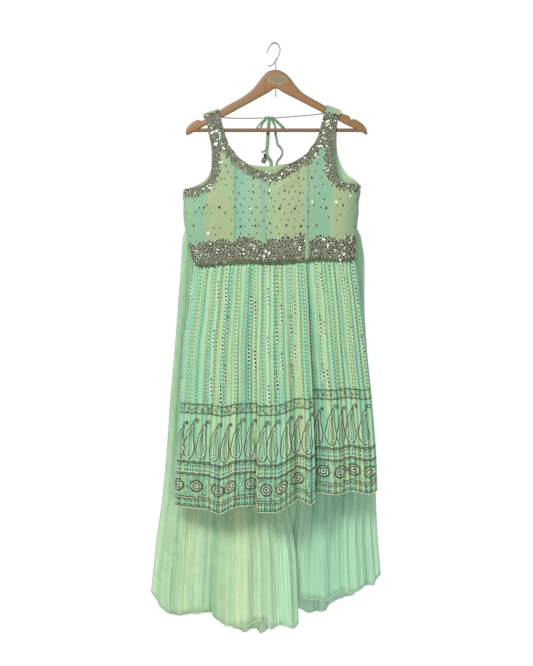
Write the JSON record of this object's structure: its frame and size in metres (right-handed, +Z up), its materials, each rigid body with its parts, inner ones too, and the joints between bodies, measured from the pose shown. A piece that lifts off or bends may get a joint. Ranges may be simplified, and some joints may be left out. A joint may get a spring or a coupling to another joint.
{
  "type": "palazzo suit on a hanger",
  "caption": "Sleeveless mint kurta with beaded bands and gathered skirt, with wide crinkled palazzo trousers behind, on a wooden hanger.",
  "frame": {"origin": "inside top of the hanger hook, where the suit hangs", "axes": "+Z up, -Y to the front of the suit, +X to the right as seen from the front"},
  "size_m": [0.5725, 0.1722, 1.46],
  "materials": {
    "georgette": "gathered mint georgette with tone-on-tone stripes, streaked with yellow green",
    "dori": "narrow rolled tie of the same cloth",
    "beadwork": "dense silver and olive bead and mirror work",
    "sheer": "thin crushed mint georgette",
    "lining": "smooth pale green lining",
    "wood": "varnished and worn",
    "steel": "bright bent wire"
  },
  "bodies": {
    "root": {"bodice_front_left": "georgette", "bodice_front_right": "georgette", "bodice_front_centre": "georgette", "bodice_back_left": "georgette", "bodice_back_right": "georgette", "skirt_front_left": "georgette", "skirt_front_right": "georgette", "skirt_back": "georgette", "dori_left_span": "dori", "dori_right_span": "dori", "dori_left_loop": "dori", "dori_right_loop": "dori", "dori_left_tail": "dori", "dori_right_tail": "dori", "dori_knot": "dori", "waist_beadwork_left": "beadwork", "waist_beadwork_centre": "beadwork", "waist_beadwork_right": "beadwork", "neck_beadwork_centre": "beadwork", "neck_beadwork_left": "beadwork", "neck_beadwork_right": "beadwork", "armhole_beadwork_left": "beadwork", "armhole_beadwork_right": "beadwork", "strap_beadwork_left": "beadwork", "strap_beadwork_right": "beadwork", "waist_bead_cord": "beadwork", "latkan_bead": "beadwork", "latkan_tassel": "beadwork", "palazzo_left_front": "sheer", "palazzo_left_back": "sheer", "palazzo_right_front": "sheer", "palazzo_right_back": "sheer", "palazzo_waistband": "sheer", "hanger_loop_left": "sheer", "hanger_loop_right": "sheer", "lining_left_front": "lining", "lining_left_back": "lining", "lining_right_front": "lining", "lining_right_back": "lining", "hanger_shoulders": "wood", "hanger_bar": "wood", "hanger_hook": "steel", "hanger_shank": "steel"}
  },
  "joints": []
}
